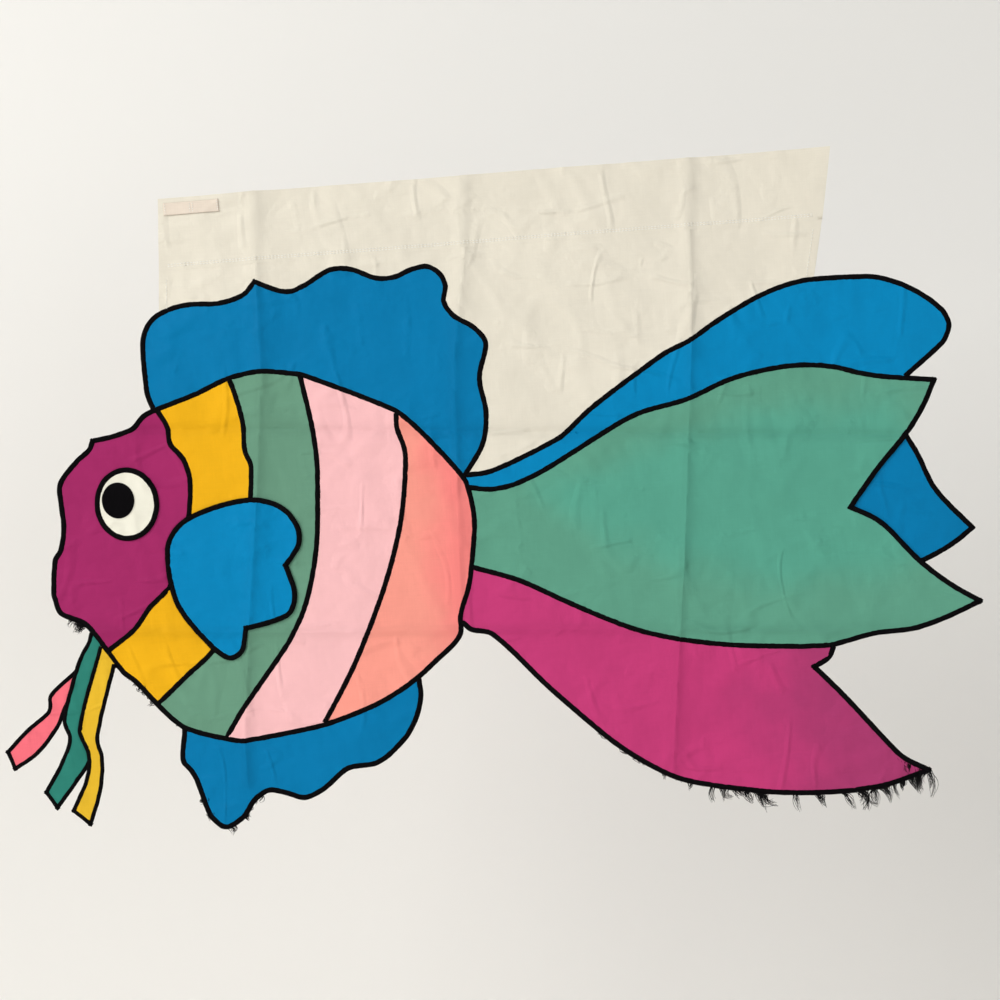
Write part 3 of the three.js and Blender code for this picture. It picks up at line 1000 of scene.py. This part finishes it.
def side_of(end):
    """The upper and lower outer corners of a side hem. The left end is -1, the right end 1."""
    sheet = flat_front("field_hem_left" if end < 0 else "field_hem_right")
    corners = [vert.co.copy() for vert in sheet.verts]
    sheet.free()
    heights = [corner.z for corner in corners]
    middle = (max(heights) + min(heights)) / 2
    above = [corner for corner in corners if corner.z > middle]
    below = [corner for corner in corners if corner.z < middle]
    return [max(group, key=lambda corner: end * corner.x) for group in (above, below)]


def side_trim(end):
    """The plane that a side of the white cloth is cut to."""
    upper, lower = side_of(end)
    run = (lower - upper).normalized()
    outward = Vector((-run.z, 0, run.x))
    if outward.x * end < 0:
        outward.negate()
    return upper, outward


def field():
    seam = (Vector((0, 0, sleeve_low.z)), Vector((0, 0, 1)))
    trims = [seam, side_trim(-1), side_trim(1)]
    cloth = panel("field", "white_nylon", trims=trims)
    sides = ("field_hem_left", "field_hem_right")
    hems = [panel(node, "white_nylon", reach=under_hem) for node in sides]
    stitching = hem_stitches()
    declare_cloth(cloth)
    for piece in (cloth, *hems, stitching):
        bend(piece, "flag")


def stitch_row(made, start, end, pitch, length, y):
    """A row of lockstitches on the face of the cloth, from start to end in the XZ plane."""
    run = end - start
    count = round(run.length / pitch)
    turn = Matrix.Rotation(-math.atan2(run.z, run.x), 4, "Y")
    rise, half_width = 0.0004, 0.0005
    shape = Matrix.Diagonal((length / 2, rise, half_width, 1))
    spots = [start + run * (i + 0.5) / count for i in range(count)]
    heights = lift([spot.x for spot in spots], [spot.z for spot in spots])
    for spot, height in zip(spots, heights):
        place = Matrix.Translation((spot.x, y - height, spot.z))
        bmesh.ops.create_icosphere(made, subdivisions=1, radius=1, matrix=place @ turn @ shape)


def stitch_piece(name, rows, y, pitch=0.0034, length=0.0026):
    made = bmesh.new()
    for start, end in rows:
        stitch_row(made, start, end, pitch, length, y)
    piece = add_piece(name, mesh_of(name, made), finishes["white_thread"])
    return piece


def hem_stitches():
    rows = []
    for end in (-1, 1):
        upper, lower = side_of(end)
        inward = Vector((-end * hem_stitch_inset, 0, 0))
        rows.append((upper + inward, lower + inward))
    return stitch_piece("hem_stitching", rows, cloth_y - 0.0003)


def sleeve_wrinkles(mesh):
    """The sleeve follows the cloth's folds, and its back ply has slack of its own."""
    front = sleeve_low.y
    depth = sleeve_high.y - sleeve_low.y
    x = [vert.co.x for vert in mesh.vertices]
    z = [vert.co.z for vert in mesh.vertices]
    for vert, height in zip(mesh.vertices, lift(x, z)):
        back = (vert.co.y - front) / depth
        slack = noise.noise(Vector((vert.co.x * 24, 1.5, vert.co.z * 9)))
        slack += 0.5 * noise.noise(Vector((vert.co.x * 60, 4.5, vert.co.z * 20)))
        vert.co.y -= height + 0.0022 * slack * back


def sleeve():
    tube = joined_solid("pole_sleeve")
    join_flat_faces(tube)
    into_cells(tube, sleeve_cell)
    mesh = mesh_of("sleeve_cloth", tube)
    flat_uvs(mesh, CLOTH_MAP)
    mark_fold_shade(mesh)
    sleeve_wrinkles(mesh)
    mesh.set_sharp_from_angle(angle=math.radians(50))
    piece = add_piece("sleeve_cloth", mesh, finishes["white_nylon"])
    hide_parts("pole_sleeve")
    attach(piece, "sleeve")


def sleeve_seam():
    low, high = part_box("sleeve_seam_stitch")
    middle = (low.z + high.z) / 2
    left, right = Vector((low.x, 0, middle)), Vector((high.x, 0, middle))
    over = Vector((0, 0, seam_row_gap))
    rows = [(left, right), (left + over, right + over)]
    piece = stitch_piece("sleeve_seam_stitching", rows, sleeve_low.y, length=0.0032)
    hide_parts("sleeve_seam_stitch")
    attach(piece, "sleeve")


def care_label():
    """A blank woven label, folded once and tacked on at its ends."""
    tag = flat_front("care_label")
    into_cells(tag, label_cell)
    low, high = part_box("care_label")
    middle = (low.x + high.x) / 2
    fold_width = 0.0015
    for vert in tag.verts:
        fold = math.exp(-abs(vert.co.x - middle) / fold_width)
        curl = ((vert.co.z - high.z) / (high.z - low.z)) ** 2
        vert.co.y = 0.0004 * fold - 0.0005 * curl
    mesh = mesh_of("care_label_tape", tag)
    flat_uvs(mesh, CLOTH_MAP)
    raise_cloth(mesh, sleeve_low.y - 0.0004)
    piece = add_piece("care_label_tape", mesh, finishes["label_tape"])
    thin(piece)
    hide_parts("care_label")
    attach(piece, "sleeve")
    inset = 0.0015
    rows = [
        (Vector((x, 0, low.z + inset)), Vector((x, 0, high.z - inset)))
        for x in (low.x + inset, middle - inset, middle + inset, high.x - inset)
    ]
    face_y = sleeve_low.y - 0.0007
    tacks = stitch_piece("label_stitching", rows, face_y, pitch=0.0024, length=0.0018)
    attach(tacks, "sleeve")


# ---- Loose threads ----


def loose_threads(name, node, body, stretch, tufts, length, lean, seed):
    """Tufts of thread that have come loose from a satin line. The stretch is the low and high x
    and the highest z of the part of the line that has frayed."""
    left, right, highest = stretch
    shuffle = random.Random(seed)
    roots = [point for path in satin_paths[node] for point in path]
    roots = [point for point in roots if left < point.x < right and point.y < highest]
    data = bpy.data.curves.new(name, "CURVE")
    data.dimensions = "3D"
    data.bevel_depth = thread_radius
    data.bevel_resolution = 0
    data.use_fill_caps = True
    base = ply_y(node)
    for _ in range(tufts):
        middle = shuffle.choice(roots)
        reach = length * shuffle.uniform(0.35, 1.0)
        heading = -math.pi / 2 + lean + shuffle.gauss(0, 0.22)
        curl = shuffle.gauss(0, 0.7)
        tip = middle + Vector((math.cos(heading), math.sin(heading))) * reach
        for _ in range(shuffle.randint(9, 18)):
            root = middle + Vector((shuffle.gauss(0, 0.0021), shuffle.uniform(-0.0022, 0.0)))
            end = middle.lerp(tip, shuffle.uniform(0.5, 1.0))
            end += Vector((shuffle.gauss(0, 0.0009), shuffle.gauss(0, 0.0009)))
            add_thread(data, root, end, base, curl + shuffle.gauss(0, 0.3), shuffle)
    piece = add_piece(name, curve_mesh(name, data), loose_black)
    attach(piece, body)


def add_thread(data, root, end, base, curl, shuffle, steps=7):
    """One loose thread from its root to its end, as a bowed line of a curve."""
    run = end - root
    aside = Vector((-run.y, run.x)) * curl * 0.35
    out = shuffle.uniform(-0.0012, 0.0012)
    start_y = base - lift([root.x], [root.y])[0]
    line = data.splines.new("POLY")
    line.points.add(steps)
    for step, point in enumerate(line.points):
        share = step / steps
        place = root + run * share + aside * share * (1 - share) * 4
        point.co = (place.x, start_y + out * share**2, place.y, 1)
        point.radius = 1.0 - 0.7 * share


def frays():
    """For each frayed part: its stretch, how many tufts it has, how long they are, how far they
    lean, and the seed of its random draws."""
    tail = ("lower_tail_lobe_satin", "lower_tail_lobe")
    body = ("body_edge_satin", "flag")
    fin = ("belly_fin_satin", "belly_fin")
    loose_threads("tail_edge_threads", *tail, (0.17, 0.36, -0.59), 24, 0.026, 0.45, 11)
    loose_threads("tail_point_threads", *tail, (0.36, 0.408, -0.60), 15, 0.030, 0.1, 16)
    loose_threads("tail_middle_threads", *tail, (0.05, 0.17, -0.54), 9, 0.010, 0.5, 12)
    loose_threads("chin_threads", *body, (-0.478, -0.459, -0.386), 9, 0.014, -0.35, 13)
    loose_threads("belly_threads", *body, (-0.438, -0.366, -0.43), 14, 0.008, -0.5, 14)
    loose_threads("fin_threads", *fin, (-0.355, -0.28, -0.583), 13, 0.010, 0.2, 15)


# ---- Put together ----

bpy.context.scene.view_settings.view_transform = "Standard"
place_camera()
backdrop = one_sided("backdrop_paint", (238, 237, 233))
upright = Matrix.Rotation(math.pi / 2, 4, "X")
behind_flag = Matrix.Translation((0, cad_high.y + swing_room, 0.75))
stage_sheet("backdrop", 6.0, behind_flag @ upright, backdrop)
floor = matt("floor_paint", (232, 229, 225))
below_flag = Matrix.Translation((0, 0, cad_low.z - 0.6))
stage_sheet("floor", 9, below_flag, floor)
centre = (cad_low + cad_high) / 2
soft_light("key_light", (-2.9, -2.6, 1.9), centre, size=3.4, power=165, colour=(1.0, 0.99, 0.97))
soft_light("fill_light", (2.4, -3.4, 0.1), centre, size=3.0, power=46)
soft_light("back_light", (0.6, 2.4, 1.3), centre, size=2.0, power=40)

world = bpy.data.worlds.new("studio")
world.use_nodes = True
air = world.node_tree.nodes["Background"].inputs
air["Color"].default_value = (1, 1, 1, 1)
air["Strength"].default_value = 0.23
bpy.context.scene.world = world

flat_pieces()
dorsal_fin()
pupil()
field()
flap("belly_fin", "fin_blue_nylon")
flap("lower_tail_lobe", "rose_nylon")
flap("rear_tail_lobe", "fin_blue_nylon")
flap("green_barbel", "teal_nylon")
flap("yellow_barbel", "amber_nylon")
flap("pink_barbel", "coral_nylon")
sleeve()
sleeve_seam()
care_label()
frays()
bpy.data.objects.remove(satin_section)
bpy.data.objects.remove(barbel_section)
